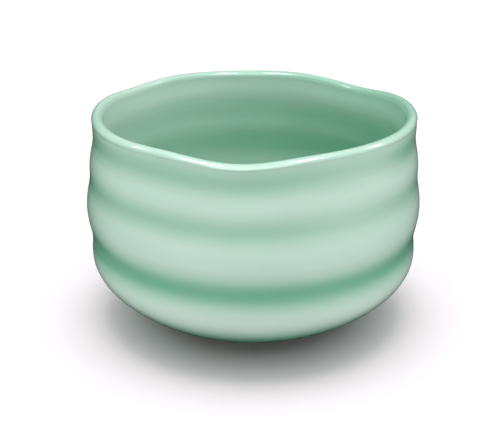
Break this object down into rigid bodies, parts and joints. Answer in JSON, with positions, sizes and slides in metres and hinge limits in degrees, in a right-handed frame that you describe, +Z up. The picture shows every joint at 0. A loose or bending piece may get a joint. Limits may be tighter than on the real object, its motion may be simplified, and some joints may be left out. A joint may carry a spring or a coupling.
{
  "type": "matcha bowl",
  "caption": "Round tea-whisking bowl with soft throwing ridges, an uneven rounded lip, a glossy glaze inside and out and a bare clay foot ring.",
  "frame": {"origin": "centre of the circle that the foot ring rests on", "axes": "+Z up through the middle of the bowl; the front, where the lip dips a little, faces -Y"},
  "size_m": [0.1196, 0.1177, 0.0791],
  "materials": {
    "clay": "matt unglazed fired clay, pale buff",
    "glaze": "glossy mint celadon glaze, deeper where it pools and paler where it thins on the lip and ridges"
  },
  "bodies": {
    "root": {"clay_body": "clay", "foot_ring": "clay", "outer_glaze": "glaze", "inner_glaze": "glaze"}
  },
  "joints": []
}
